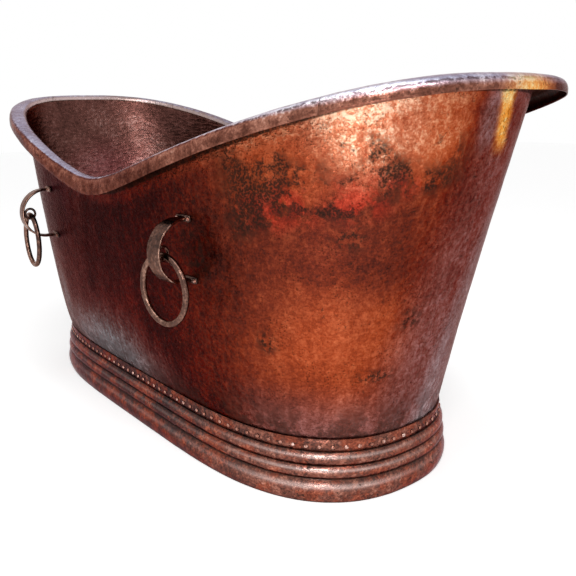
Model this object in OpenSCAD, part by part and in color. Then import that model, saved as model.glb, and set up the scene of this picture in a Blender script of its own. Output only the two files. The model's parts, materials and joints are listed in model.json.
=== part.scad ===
// Freestanding copper bathtub with raised ends, riveted plinth and four pull rings.
// Millimetres, +Z up. Origin: on the floor, under the middle of the bowl. X runs along the bath.

/* [Bowl] */
// Height of the rim at the two ends
end_height = 819; // [740:1:880]
// Height of the rim at the middle of the long sides
side_height = 622; // [560:1:680]
// How long the dip in the rim is rounded, as a share of half the length
dip_round = 0.2; // [0.1:0.05:0.4]
// Length of the bowl at its rim, under the lip
rim_length = 1590; // [1400:5:1800]
// Width that the walls would reach at the height of the end rims
rim_width = 740; // [640:5:840]
// Length of the bowl where it enters the plinth
base_length = 1284; // [1150:5:1400]
// Width of the bowl where it enters the plinth
base_width = 554; // [480:5:640]
// Height of the bowl's floor above the ground, under its sheet
floor_height = 60; // [56:1:72]
// Radius of the bend between the bowl's wall and its floor
floor_bend = 42; // [25:1:45]
// Thickness of the copper sheet of the bowl and the lip
sheet = 2; // [1.5:0.5:3.5]

/* [Lip] */
// How far the lip stands out from the wall at the middle of the long sides
lip_side = 30; // [22:1:40]
// How far the lip stands out from the wall at the ends
lip_end = 56; // [40:1:70]
// How far the lip turns down at the middle of the long sides
lip_drop_side = 40; // [30:1:48]
// How far the lip turns down at the ends
lip_drop_end = 27; // [20:1:36]
// Share of the half length at which an end length of the lip starts
lip_seam = 0.86; // [0.75:0.01:0.93]

/* [Plinth] */
// Height of the plinth
plinth_height = 132; // [124:1:146]
// Height of the riveted band
band_height = 27; // [20:1:32]
// Height of the top moulding
bead_top_height = 28; // [24:1:34]
// Height of the middle moulding
bead_middle_height = 27; // [20:1:32]
// How far each moulding steps out from the one above
bead_step = 3.5; // [2.5:0.5:6]
// How far a moulding bulges past its edges
bead_bulge = 6.5; // [5:0.5:10]
// Thickness of the sheet of the plinth, the band and the mouldings
plinth_sheet_thick = 2; // [1.5:0.5:2.5]
// Width of the flat ring that the plinth stands on
foot_ring_width = 40; // [30:1:50]
// Thickness of the flat ring
foot_ring_thick = 3; // [2:0.5:5]
// Width of each timber bearer under the bowl
bearer_width = 70; // [40:5:100]
// Distance of the inner bearers from the middle
bearer_inner_x = 150; // [110:5:180]
// Distance of the outer bearers from the middle
bearer_outer_x = 400; // [300:5:430]

/* [Rivets] */
// Diameter of a band rivet's head
band_rivet_d = 9; // [6:0.5:11]
// Diameter of a handle rivet's head
handle_rivet_d = 9; // [8:0.5:11]

/* [Handles and rings] */
// Distance of each handle from the middle of the bath
handle_x = 346; // [300:1:420]
// Height of the middle of the handle above the floor
handle_z = 500; // [450:1:508]
// Distance between the upper and the lower foot of a handle
handle_height = 126; // [115:1:140]
// How far the strap stands out from the wall at its middle
handle_reach = 86; // [80:1:100]
// Width of the strap at its outermost point
strap_width = 38; // [28:1:44]
// Width of the strap at its feet
strap_foot_width = 20; // [16:1:24]
// Thickness of the strap
strap_thick = 6; // [4:0.5:8]
// Width of a foot of the strap
foot_width = 44; // [38:1:52]
// Height of a foot of the strap
foot_height = 15; // [13:1:18]
// Outside diameter of a pull ring
ring_d = 150; // [130:1:160]
// Diameter of the bar of a pull ring
ring_bar = 13; // [10:0.5:14]
// Outside diameter of an eyelet
eyelet_d = 33; // [31:0.5:36]
// Diameter of the wire of an eyelet
eyelet_wire = 6.5; // [5:0.5:7]

/* [Drain] */
// Outside diameter of the drain flange
flange_d = 72; // [66:1:90]
// Outside diameter of the threaded body under the flange
drain_body_d = 46; // [45:0.5:50]
// Length of the threaded body under the bowl's sheet
drain_body_length = 32; // [30:1:36]
// Outside diameter of the tailpiece's smooth stub, which a waste pipe slips over
tailpiece_d = 38.1; // [36:0.1:38.5]
// Height of the tailpiece's lower end above the ground
tailpiece_end = 5; // [2:1:8]
// Diameter of the stopper's cap
stopper_d = 60; // [56:1:62]
// Diameter of the stopper's post
stopper_post_d = 8; // [6:0.5:10]
// How far the stopper lifts
stopper_travel = 9; // [6:1:10]

/* [Hidden] */
// Gap between parts that rest on each other
seat = 0.2;
// Columns round the bath, and the steps of the curved surfaces
facets = 120;
wall_steps = 8;
bend_steps = 4;
lip_steps = 5;
bead_steps = 4;
fine = 720;
// Half the distance over which a slope is measured
probe = 5;
// How far a cutting shape reaches past what it cuts
over = 1;
$fn = 48;

// Colours of the finishes
copper = [0.55, 0.22, 0.12];
copper_dark = [0.36, 0.15, 0.10];
copper_light = [0.72, 0.40, 0.30];
bronze = [0.34, 0.24, 0.19];
brass_dark = [0.45, 0.33, 0.18];
rubber = [0.08, 0.08, 0.08];
timber = [0.62, 0.47, 0.30];

CORNERS = ["front_left", "front_right", "rear_left", "rear_right"];
CORNER_X = [-1, 1, -1, 1];
CORNER_Y = [-1, -1, 1, 1];
LIP_LENGTHS = ["lip_right_end", "lip_rear", "lip_left_end", "lip_front"];
BEARERS = [-bearer_outer_x, -bearer_inner_x, bearer_inner_x, bearer_outer_x];

// ---- Plan of the bath -------------------------------------------------------
// The plan is |x / half length|^p + |y / half width|^q = 1. Square-ended low down, rounder at the rim.
base_p = 4.4;
base_q = 2.25;
rim_p = 2.5;
rim_q = 3.1;
end_flare = 1.22;
side_flare = 0.6;

// Share of the way from the plinth up to the end rims.
function rise(z) = max(0, (z - plinth_height) / (end_height - plinth_height));
function half_length(z) = base_length / 2 + (rim_length - base_length) / 2 * pow(rise(z), end_flare);
function half_width(z) = base_width / 2 + (rim_width - base_width) / 2 * pow(rise(z), side_flare);
function plan_p(z) = base_p + (rim_p - base_p) * rise(z);
function plan_q(z) = base_q + (rim_q - base_q) * rise(z);
function side_share(s, p, q) = pow(max(0, 1 - pow(min(1, abs(s)), p)), 1 / q);

// A point of the plan at height z, at the angle turned about the middle, grown outwards by offset.
function plan_point(z, turn, offset = 0) = [
    (half_length(z) + offset) * cos(turn),
    (half_width(z) + offset) * sign(sin(turn)) * side_share(cos(turn), plan_p(z), plan_q(z)),
    z
];

// The outward direction of the plan at height z.
function plan_normal(z, turn) =
    let (s = abs(cos(turn)), w = side_share(s, plan_p(z), plan_q(z)))
    let (nx = plan_p(z) * pow(s, plan_p(z) - 1) / half_length(z) * sign(cos(turn)))
    let (ny = plan_q(z) * pow(w, plan_q(z) - 1) / half_width(z) * sign(sin(turn)))
    [nx, ny, 0] / norm([nx, ny]);

// Distance of the outside of the wall from the middle plane at a place along the bath.
function wall_y(x, z) = half_width(z) * side_share(x / half_length(z), plan_p(z), plan_q(z));

// The rim dips to the middle: nearly straight slopes, rounded at the lowest point.
dip_bow = 0.1;
function dip(s) = (sqrt(s * s + dip_round * dip_round) - dip_round) / (sqrt(1 + dip_round * dip_round) - dip_round);
function dip_full(s) = dip(s) + dip_bow * dip(s) * (1 - dip(s));
function rim_z(turn) = side_height + (end_height - side_height) * dip_full(abs(cos(turn)));

// Columns stand at equal steps round the base, so each facet of the band carries one rivet.
base_walk = [for (i = [0:fine]) plan_point(plinth_height, i * 360 / fine)];
base_run = [
    for (i = 0, t = 0; i <= fine; t = t + (i < fine ? norm(base_walk[i + 1] - base_walk[i]) : 0), i = i + 1)
    [t, i * 360 / fine]
];
base_girth = base_run[fine][0];
TURNS = [for (k = [0:facets - 1]) lookup(k * base_girth / facets, base_run)];

// ---- Skins --------------------------------------------------------------------
// A closed skin over rings of points. With loop it joins the last ring to the first.
module skin(rings, loop = false) {
    n = len(rings[0]);
    m = len(rings);
    last = loop ? m - 1 : m - 2;
    sides = [
        for (i = [0:last], j = [0:n - 1])
            let (a = i * n + j, b = i * n + (j + 1) % n)
            let (c = ((i + 1) % m) * n + (j + 1) % n, d = ((i + 1) % m) * n + j)
            each [[a, c, b], [a, d, c]]
    ];
    caps = loop ? [] : [[for (j = [0:n - 1]) j], [for (j = [n - 1:-1:0]) (m - 1) * n + j]];
    polyhedron(points = [for (r = rings) each r], faces = concat(sides, caps), convexity = 8);
}

// A band of sheet round the whole plan. Each pair of section is [offset, z].
module plan_band(section) {
    skin([for (t = TURNS) [for (s = section) plan_point(plinth_height, t, s[0]) + [0, 0, s[1] - plinth_height]]], true);
}

// ---- Bowl -----------------------------------------------------------------------
// One face of the bowl: the floor, the bend at its edge and the wall up to the rim, inset from the outside.
// The wall is upright behind the plinth, and its rings stand closer together low down, where it flares most.
bend_top = floor_height + sheet + floor_bend;
lip_gap = sheet + seat;
floor_dish = 5;
drain_flat = 50;
wall_bias = 1.4;
function wall_ring(share, inset) = [
    for (t = TURNS)
        let (z = plinth_height + (rim_z(t) - lip_gap - plinth_height) * share)
        plan_point(z, t, -inset)
];
function bend_ring(angle, inset) = [
    for (t = TURNS)
        let (r = floor_bend + sheet - inset)
        plan_point(plinth_height, t, -(floor_bend + sheet) + r * cos(angle))
            + [0, 0, bend_top - r * sin(angle) - plinth_height]
];
function floor_ring(inset) = [
    for (t = TURNS)
        [drain_flat * cos(t), drain_flat * sin(t), floor_height + inset - floor_dish]
];
function bowl_face(inset) = concat(
    [floor_ring(inset)],
    [for (k = [0:bend_steps]) bend_ring(90 - 90 * k / bend_steps, inset)],
    [for (k = [0:wall_steps]) wall_ring(pow(k / wall_steps, wall_bias), inset)]
);
drain_hole_slack = 0.5;
drain_hole_d = drain_body_d + 2 * drain_hole_slack;
module bowl() {
    outer = bowl_face(0);
    inner = bowl_face(sheet);
    color(copper)
    difference() {
        skin(concat(outer, [for (k = [len(inner) - 1:-1:0]) inner[k]]));
        translate([0, 0, floor_height - floor_dish - over])
            cylinder(d = drain_hole_d, h = sheet + 2 * over);
    }
}

// ---- Lip ----------------------------------------------------------------------------
// Half a section of the lip: out along the top, round the edge and down. A low power squares the edge.
lip_square = 0.6;
function lip_half(w, drop, base_z) = [
    for (k = [0:lip_steps])
        let (a = 90 * k / lip_steps)
        [w * pow(sin(a), lip_square), base_z - drop * (1 - pow(cos(a), lip_square))]
];
function lip_width(t) = lip_side + (lip_end - lip_side) * pow(cos(t), 2);
function lip_drop(t) = lip_drop_side + (lip_drop_end - lip_drop_side) * abs(cos(t));
function lip_section(t) =
    let (z = rim_z(t), w = lip_width(t), d = lip_drop(t))
    let (top = lip_half(w + sheet, d, 0))
    let (under = lip_half(w, d - sheet, -sheet))
    let (loop = concat(top, [for (k = [lip_steps:-1:0]) under[k]]))
    let (foot = plan_point(z - lip_gap, t, -sheet), out = plan_normal(z, t))
    [for (p = loop) foot + out * p[0] + [0, 0, p[1] + lip_gap]];

// The seams fall on whole columns, so two lengths meet on one flat section.
seam_column = len([for (k = [0:facets / 4]) if (cos(TURNS[k]) > lip_seam) k]);
seam_columns = [-seam_column, seam_column, facets / 2 - seam_column, facets / 2 + seam_column, facets - seam_column];
module lip_length(i) {
    color(copper_light)
    skin([
        for (k = [seam_columns[i]:seam_columns[i + 1]])
            lip_section(TURNS[(k + facets) % facets])
    ]);
}

// ---- Plinth -----------------------------------------------------------------------------
// Offsets from the bowl's wall: plinth sheet, then band, then the mouldings stepping outwards.
plinth_in = seat;
plinth_out = plinth_in + plinth_sheet_thick;
band_in = plinth_out + seat;
band_out = band_in + plinth_sheet_thick;
band_bottom = plinth_height - band_height;
bead_tops = [band_bottom, band_bottom - bead_top_height, band_bottom - bead_top_height - bead_middle_height];
bead_bottoms = [bead_tops[1], bead_tops[2], 0];
foot_out = band_out + 3 * bead_step - plinth_sheet_thick - seat;

module sheet_band(inner, outer, low, high) {
    plan_band([[outer, high], [outer, low], [inner, low], [inner, high]]);
}
module rivet_band() {
    color(copper_dark) sheet_band(band_in, band_out, band_bottom + seat, plinth_height);
}
module plinth_sheet() {
    color(copper_dark) sheet_band(plinth_in, plinth_out, foot_ring_thick + seat, plinth_height - seat);
}
module foot_ring() {
    color(copper_dark) sheet_band(foot_out - foot_ring_width, foot_out, 0, foot_ring_thick);
}

// One moulding, number n from the top: a half-round sheet open to the back.
bead_round = 0.8;
module bead(n) {
    high = bead_tops[n] - seat / 2;
    low = bead_bottoms[n] + (n < 2 ? seat / 2 : 0);
    face = [
        for (k = [0:bead_steps])
            let (u = k / bead_steps)
            [band_out + bead_step * (n + u) + bead_bulge * pow(sin(180 * u), bead_round), high + (low - high) * u]
    ];
    back = [for (k = [bead_steps:-1:0]) face[k] - [plinth_sheet_thick, 0]];
    color(copper) plan_band(concat(face, back));
}

// A domed rivet head standing up from z = 0, with a shank below it.
rivet_dome = 0.35;
module rivet(head_d, shank) {
    head_h = head_d * rivet_dome;
    ball_r = (head_d * head_d / 4 + head_h * head_h) / (2 * head_h);
    intersection() {
        translate([0, 0, head_h - ball_r]) sphere(r = ball_r);
        cylinder(d = head_d, h = head_h);
    }
    if (shank > 0) translate([0, 0, -shank]) cylinder(d = head_d / 2, h = shank + head_h / 2);
}

// One rivet in the middle of each facet of the band, along the band's lower part.
rivet_level = 0.4;
rivet_z = band_bottom + band_height * rivet_level;
module band_rivets() {
    color(bronze)
    for (k = [0:facets - 1]) {
        a = plan_point(plinth_height, TURNS[k], band_out);
        b = plan_point(plinth_height, TURNS[(k + 1) % facets], band_out);
        along = b - a;
        translate([(a[0] + b[0]) / 2, (a[1] + b[1]) / 2, rivet_z])
            rotate([0, 0, atan2(-along[0], along[1])])
                translate([seat / 2, 0, 0]) rotate([0, 90, 0]) rivet(band_rivet_d, 0);
    }
}

// Timber bearers between the ground and the bowl's floor.
floor_half = base_length / 2 - floor_bend - sheet;
function floor_under(x) = floor_height - floor_dish * (1 - (x - drain_flat) / (floor_half - drain_flat));
module bearer(i) {
    x = BEARERS[i];
    near = abs(x) - bearer_width / 2;
    half = wall_y(abs(x) + bearer_width / 2, plinth_height) - floor_bend - sheet - foot_ring_width / 2;
    color(timber)
    translate([x - bearer_width / 2, -half, 0])
        cube([bearer_width, 2 * half, floor_under(near) - seat]);
}

// ---- Handles ----------------------------------------------------------------------------
// Each handle stands square to the wall. In its own axes +Y points away from the bath.
handle_y = wall_y(handle_x, handle_z);
handle_turn = atan((wall_y(handle_x - probe, handle_z) - wall_y(handle_x + probe, handle_z)) / (2 * probe));
module at_handle(i) {
    side = CORNER_X[i] * CORNER_Y[i];
    rotate([0, 0, CORNER_Y[i] < 0 ? 180 : 0])
        translate([side * handle_x, handle_y, 0])
            rotate([0, 0, -side * handle_turn])
                children();
}
function foot_y(z) = (wall_y(handle_x, z) - handle_y) * cos(handle_turn);
function foot_lean(z) = atan((foot_y(z + probe) - foot_y(z - probe)) / (2 * probe));
top_foot_z = handle_z + handle_height / 2;
low_foot_z = handle_z - handle_height / 2;
foot_thin = 0.6;
foot_thick = strap_thick * foot_thin;
foot_rivet_edge = 0.8;
foot_rivet_x = (foot_width - handle_rivet_d) / 2 - foot_rivet_edge;
foot_rivet_hole = handle_rivet_d / 2 + seat;

// The strap from the side: a half round bend with two level legs, cut off at its feet.
bend_r = handle_height / 2;
bend_y = handle_reach - strap_thick / 2 - bend_r;
module strap_outline(r) {
    translate([bend_y, handle_z]) circle(r = r);
    translate([bend_y - handle_reach, handle_z - r]) square([handle_reach, 2 * r]);
}
function leg_start(z) = foot_y(z) + seat + foot_thick / 2;
module strap_side() {
    low = low_foot_z - strap_thick;
    high = top_foot_z + strap_thick;
    far = handle_reach + strap_thick;
    intersection() {
        difference() {
            strap_outline(bend_r + strap_thick / 2);
            strap_outline(bend_r - strap_thick / 2);
        }
        polygon([[leg_start(low), low], [far, low], [far, high], [leg_start(high), high]]);
    }
}

// The strap from above: narrow at the feet, widening to its full width.
taper_share = 0.6;
module strap_taper() {
    reach = handle_reach + strap_thick;
    wide = handle_reach * taper_share;
    back = -handle_height;
    polygon([
        [-strap_foot_width / 2, back], [strap_foot_width / 2, back],
        [strap_foot_width / 2, 0], [strap_width / 2, wide], [strap_width / 2, reach],
        [-strap_width / 2, reach], [-strap_width / 2, wide], [-strap_foot_width / 2, 0]
    ]);
}
module at_foot(z) {
    translate([0, foot_y(z), z]) rotate([-foot_lean(z), 0, 0]) translate([0, seat, 0]) children();
}
module foot_plate() {
    difference() {
        translate([-foot_width / 2, 0, -foot_height / 2]) cube([foot_width, foot_thick, foot_height]);
        for (x = [-foot_rivet_x, foot_rivet_x])
            translate([x, -over, 0]) rotate([-90, 0, 0]) cylinder(d = foot_rivet_hole, h = foot_thick + 2 * over);
    }
}
module handle_strap(i) {
    color(bronze)
    at_handle(i) {
        intersection() {
            rotate([90, 0, 90]) translate([0, 0, -strap_width / 2]) linear_extrude(strap_width) strap_side();
            translate([0, 0, low_foot_z - foot_height]) linear_extrude(handle_height + 2 * foot_height)
                strap_taper();
        }
        for (z = [top_foot_z, low_foot_z]) at_foot(z) foot_plate();
    }
}
module handle_rivets(i) {
    color(copper_light)
    at_handle(i)
        for (z = [top_foot_z, low_foot_z], x = [-foot_rivet_x, foot_rivet_x])
            at_foot(z) translate([x, foot_thick + seat / 2, 0]) rotate([-90, 0, 0])
                rivet(handle_rivet_d, foot_thick);
}

// The eyelet is welded to the strap's inner face; its shank keeps it clear of the strap.
eyelet_shank = 2;
eyelet_r = (eyelet_d - eyelet_wire) / 2;
eyelet_y = handle_reach - strap_thick - eyelet_shank - eyelet_d / 2;
module eyelet(i) {
    color(bronze)
    at_handle(i) translate([0, eyelet_y, handle_z]) {
        rotate([0, 90, 0]) rotate_extrude() translate([eyelet_r, 0]) circle(d = eyelet_wire);
        translate([0, eyelet_r, 0]) rotate([-90, 0, 0])
            cylinder(d = eyelet_wire, h = eyelet_d / 2 - eyelet_r + eyelet_shank - seat);
    }
}

// The ring rests in the bottom of the eyelet and swings about the middle of its own bar.
ring_clear = 0.3;
ring_r = (ring_d - ring_bar) / 2;
ring_pivot_z = handle_z - (eyelet_d / 2 - eyelet_wire) + ring_bar / 2 + ring_clear;
module pull_ring(i) {
    color(bronze)
    at_handle(i) translate([0, eyelet_y, ring_pivot_z - ring_r])
        rotate([90, 0, 0]) rotate_extrude() translate([ring_r, 0]) circle(d = ring_bar);
}

// ---- Drain --------------------------------------------------------------------------------
// A flange and a threaded body through the bowl's floor, with a crossbar that guides the stopper.
flange_thick = 3;
flange_z = floor_height - floor_dish + sheet + seat;
body_bottom = floor_height - floor_dish - drain_body_length;
screw_step = 1;
tailpiece_screw_d = tailpiece_d + 2 * screw_step;
body_bore_d = tailpiece_screw_d + 2 * seat;
seal_thick = 1.6;
seal_inset = 4;
seal_d = stopper_d - 2 * seal_inset;
crossbar_rise = 14;
crossbar_z = body_bottom + crossbar_rise;
crossbar_thick = 6;
crossbar_boss_wall = 3.5;
crossbar_boss_d = stopper_post_d + 2 * crossbar_boss_wall;
post_fit = 0.06;
lift_clear = 0.3;
seal_slack = 0.5;
module drain_flange() {
    color(brass_dark)
    difference() {
        union() {
            translate([0, 0, flange_z]) cylinder(d = flange_d, h = flange_thick);
            translate([0, 0, body_bottom]) cylinder(d = drain_body_d, h = flange_z + flange_thick - body_bottom);
        }
        difference() {
            translate([0, 0, body_bottom - over])
                cylinder(d = body_bore_d, h = flange_z + flange_thick - body_bottom + 2 * over);
            translate([-drain_body_d / 2, -crossbar_thick / 2, crossbar_z])
                cube([drain_body_d, crossbar_thick, crossbar_thick]);
            translate([0, 0, crossbar_z]) cylinder(d = crossbar_boss_d, h = crossbar_thick);
        }
        translate([0, 0, flange_z + flange_thick - seal_thick - lift_clear])
            cylinder(d = seal_d + 2 * seal_slack, h = seal_thick + over);
        translate([0, 0, crossbar_z - over])
            cylinder(d = stopper_post_d + 2 * post_fit, h = crossbar_thick + 2 * over);
    }
}
module drain_ring(top, thick, outer_d, tone) {
    color(tone)
    translate([0, 0, top - thick])
        difference() {
            cylinder(d = outer_d, h = thick);
            translate([0, 0, -over]) cylinder(d = drain_body_d + 2 * seat, h = thick + 2 * over);
        }
}
gasket_top = floor_height - floor_dish - seat;
gasket_thick = 3;
washer_top = gasket_top - gasket_thick - seat;
washer_thick = 2;
locknut_top = washer_top - washer_thick - seat;
locknut_thick = 11;
locknut_rim = 10;
locknut_d = drain_body_d + 2 * locknut_rim;
module drain_gasket() { drain_ring(gasket_top, gasket_thick, locknut_d, rubber); }
module drain_washer() { drain_ring(washer_top, washer_thick, locknut_d, brass_dark); }
module drain_locknut() {
    color(brass_dark)
    translate([0, 0, locknut_top - locknut_thick])
        difference() {
            cylinder(d = locknut_d, h = locknut_thick, $fn = 6);
            translate([0, 0, -over]) cylinder(d = drain_body_d + 2 * seat, h = locknut_thick + 2 * over);
        }
}

// The tailpiece: a smooth stub below the body and a thicker screwed end inside it.
tailpiece_wall = 1.5;
tailpiece_top = crossbar_z - tailpiece_wall;
module tailpiece() {
    color(brass_dark)
    difference() {
        union() {
            translate([0, 0, tailpiece_end]) cylinder(d = tailpiece_d, h = tailpiece_top - tailpiece_end);
            translate([0, 0, body_bottom]) cylinder(d = tailpiece_screw_d, h = tailpiece_top - body_bottom);
        }
        translate([0, 0, tailpiece_end - over])
            cylinder(d = tailpiece_d - 2 * tailpiece_wall, h = tailpiece_top - tailpiece_end + 2 * over);
    }
}

// The stopper is shown shut. Its collar meets the crossbar when it is lifted.
cap_z = flange_z + flange_thick + lift_clear;
cap_thick = 5;
collar_thick = 2.5;
collar_step = 2;
collar_d = stopper_post_d + 2 * collar_step;
collar_z = crossbar_z - stopper_travel - lift_clear - collar_thick;
module stopper_cap() {
    color(brass_dark)
    translate([0, 0, cap_z]) {
        cylinder(d = stopper_d, h = cap_thick / 2);
        translate([0, 0, cap_thick / 2]) cylinder(d1 = stopper_d, d2 = seal_d, h = cap_thick / 2);
    }
}
module stopper_seal() {
    color(rubber)
    translate([0, 0, cap_z - seal_thick])
        difference() {
            cylinder(d = seal_d, h = seal_thick - seat / 2);
            translate([0, 0, -over]) cylinder(d = stopper_post_d + 2 * seat, h = seal_thick + 2 * over);
        }
}
module stopper_post() {
    color(brass_dark) {
        translate([0, 0, collar_z]) cylinder(d = stopper_post_d, h = cap_z - seat / 2 - collar_z);
        translate([0, 0, collar_z]) cylinder(d = collar_d, h = collar_thick);
    }
}

// ---- Assembly -------------------------------------------------------------------------------
bowl();
for (i = [0:3]) lip_length(i);
rivet_band();
band_rivets();
bead(0);  // bead_top
bead(1);  // bead_middle
bead(2);  // bead_bottom
plinth_sheet();
foot_ring();
for (i = [0:3]) bearer(i);
for (i = [0:3]) handle_strap(i);
for (i = [0:3]) handle_rivets(i);
for (i = [0:3]) eyelet(i);
for (i = [0:3]) pull_ring(i);
drain_flange();
drain_gasket();
drain_washer();
drain_locknut();
tailpiece();
stopper_cap();
stopper_seal();
stopper_post();
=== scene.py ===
import json
from functools import partial
from math import atan, copysign, cos, exp, hypot, pi, radians, sin

import bpy
import numpy as np
from mathutils import Matrix, Vector, noise


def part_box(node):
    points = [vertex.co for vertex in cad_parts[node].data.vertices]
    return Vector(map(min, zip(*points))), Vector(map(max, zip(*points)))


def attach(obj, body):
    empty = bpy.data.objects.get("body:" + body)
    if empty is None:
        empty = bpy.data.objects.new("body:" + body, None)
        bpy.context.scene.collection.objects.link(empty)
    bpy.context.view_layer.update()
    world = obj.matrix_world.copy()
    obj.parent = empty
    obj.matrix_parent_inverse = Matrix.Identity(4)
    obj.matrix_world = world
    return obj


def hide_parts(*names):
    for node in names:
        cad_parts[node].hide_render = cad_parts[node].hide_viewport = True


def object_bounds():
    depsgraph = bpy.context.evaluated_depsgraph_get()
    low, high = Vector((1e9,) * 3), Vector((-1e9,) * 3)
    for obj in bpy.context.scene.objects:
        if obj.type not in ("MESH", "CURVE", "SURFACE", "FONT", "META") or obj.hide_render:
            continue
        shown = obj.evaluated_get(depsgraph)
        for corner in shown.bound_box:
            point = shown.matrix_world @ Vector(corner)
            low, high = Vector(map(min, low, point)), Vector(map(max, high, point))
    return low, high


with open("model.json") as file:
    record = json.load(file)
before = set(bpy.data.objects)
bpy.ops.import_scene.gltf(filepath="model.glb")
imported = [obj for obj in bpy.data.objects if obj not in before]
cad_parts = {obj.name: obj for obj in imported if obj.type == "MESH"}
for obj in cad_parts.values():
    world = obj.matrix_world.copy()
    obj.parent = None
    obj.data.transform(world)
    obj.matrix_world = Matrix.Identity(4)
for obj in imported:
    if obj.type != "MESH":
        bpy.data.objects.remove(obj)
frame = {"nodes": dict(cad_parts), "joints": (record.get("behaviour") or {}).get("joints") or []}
cad_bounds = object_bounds()

# ---- Bowl ----
# One beaten copper sheet. It stands upright behind the plinth, then flares to a rim that is high at
# both ends and dips at the sides. Outside it has a mottled red-brown patina, inside a dull maroon one.
plinth_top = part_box("rivet_band")[1].z
end_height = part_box("lip_right_end")[1].z
side_height = 0.622
sheet = 0.002
band_standoff = 0.0044
base_half_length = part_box("rivet_band")[1].x - band_standoff
base_half_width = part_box("rivet_band")[1].y - band_standoff
rim_half_length = 0.795
rim_half_width = 0.37
length_flare, width_flare = 1.22, 0.6
length_power, length_power_loss = 4.4, 1.9
width_power, width_power_gain = 2.25, 0.85
dip_rounding, slope_belly = 0.2, 0.1
floor_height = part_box("bowl")[0].z + 0.005
floor_bend = 0.042
floor_dish = 0.005
dish_radius = 0.05
drain_hole_radius = 0.0238
lip_round = 0.015
lip_drop_side, lip_drop_end = 0.04, 0.027
wall_steps = 90
columns = 600


def plan_shape(z):
    """Half length, half width and the two powers of the bath's plan at height z."""
    up = np.maximum(0.0, (z - plinth_top) / (end_height - plinth_top))
    half_length = base_half_length + (rim_half_length - base_half_length) * up**length_flare
    half_width = base_half_width + (rim_half_width - base_half_width) * up**width_flare
    return half_length, half_width, length_power - length_power_loss * up, width_power + width_power_gain * up


def plan(z, turn, grow=0.0):
    """Points of the plan at height z and at turns about the middle, grown outwards."""
    half_length, half_width, p, q = plan_shape(z)
    side = np.maximum(0.0, 1.0 - np.abs(np.cos(turn)) ** p) ** (1.0 / q)
    x = (half_length + grow) * np.cos(turn)
    y = (half_width + grow) * np.sign(np.sin(turn)) * side
    return np.stack(np.broadcast_arrays(x, y, z), -1)


def base_ring(turn, grow, z):
    """Points of the base's plan, grown outwards and set at height z."""
    return plan(plinth_top, turn, grow) * [1, 1, 0] + [0, 0, z]


def plan_out(z, turn):
    """The level outward direction of the plan."""
    half_length, half_width, p, q = plan_shape(z)
    along = np.abs(np.cos(turn))
    side = np.maximum(0.0, 1.0 - along**p) ** (1.0 / q)
    x = p * along ** (p - 1.0) / half_length * np.sign(np.cos(turn))
    y = q * side ** (q - 1.0) / half_width * np.sign(np.sin(turn))
    length = np.hypot(x, y)
    return np.stack([x / length, y / length, 0.0 * x], -1)


def even_turns(count):
    """Turns that stand at equal steps round the base."""
    fine = np.linspace(0.0, 2.0 * np.pi, 5761)
    steps = np.linalg.norm(np.diff(plan(plinth_top, fine), axis=0), axis=1)
    walked = np.concatenate([[0.0], np.cumsum(steps)])
    return np.interp(np.arange(count) / count * walked[-1], walked, fine)


def rim_height(turn):
    """The rim's height: nearly straight slopes up from a rounded dip in the middle of each side."""
    along = np.abs(np.cos(turn))
    dip = (np.hypot(along, dip_rounding) - dip_rounding) / (hypot(1.0, dip_rounding) - dip_rounding)
    dip = dip + slope_belly * dip * (1.0 - dip)
    return side_height + (end_height - side_height) * dip


def set_in_scene(name, data):
    made = bpy.data.objects.new(name, data)
    bpy.context.scene.collection.objects.link(made)
    return made


def lip_drop(turn):
    """How far the lip's apron hangs down from the rim."""
    return lip_drop_side + (lip_drop_end - lip_drop_side) * np.abs(np.cos(turn))


def mesh_piece(name, points, faces):
    """A new piece from a mesh, shaded smooth."""
    mesh = bpy.data.meshes.new(name)
    mesh.from_pydata(points, [], faces)
    mesh.polygons.foreach_set("use_smooth", [True] * len(mesh.polygons))
    mesh.validate()
    mesh.update()
    return set_in_scene(name, mesh)


def tube_faces(m, n, looped=False, start=0):
    """Faces over m rings of n points. The last ring joins the first, or both ends are capped."""
    index = start + np.arange(m * n).reshape(m, n)
    lower, upper = (index, np.roll(index, -1, 0)) if looped else (index[:-1], index[1:])
    quads = np.stack([lower, np.roll(lower, -1, 1), np.roll(upper, -1, 1), upper], -1).reshape(-1, 4)
    caps = [] if looped else [index[0].tolist()[::-1], index[-1].tolist()]
    return quads.tolist() + caps


def tag(piece, **marks):
    """Stores named values, one for each vertex."""
    for name, values in marks.items():
        layer = piece.data.attributes.new(name, "FLOAT", "POINT")
        layer.data.foreach_set("value", np.asarray(values, np.float32))


def skin(name, rings, looped=True, **marks):
    """A closed mesh over rings of points, with named values from 0 to 1 for every point."""
    rings = np.asarray(rings, float)
    points = rings.reshape(-1, 3)
    made = mesh_piece(name, points.tolist(), tube_faces(*rings.shape[:2], looped))
    tag(made, **{mark: np.broadcast_to(values, rings.shape[:2]).ravel() for mark, values in marks.items()})
    made.data.calc_loop_triangles()
    a, b, c = np.moveaxis(points[[list(t.vertices) for t in made.data.loop_triangles]], 1, 0)
    if (np.cross(a, b) * c).sum() < 0:
        made.data.flip_normals()
    return made


def points_of(piece):
    """The piece's vertices, one in each row."""
    flat = np.empty(len(piece.data.vertices) * 3, np.float32)
    piece.data.vertices.foreach_get("co", flat)
    return flat.reshape(-1, 3)


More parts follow.
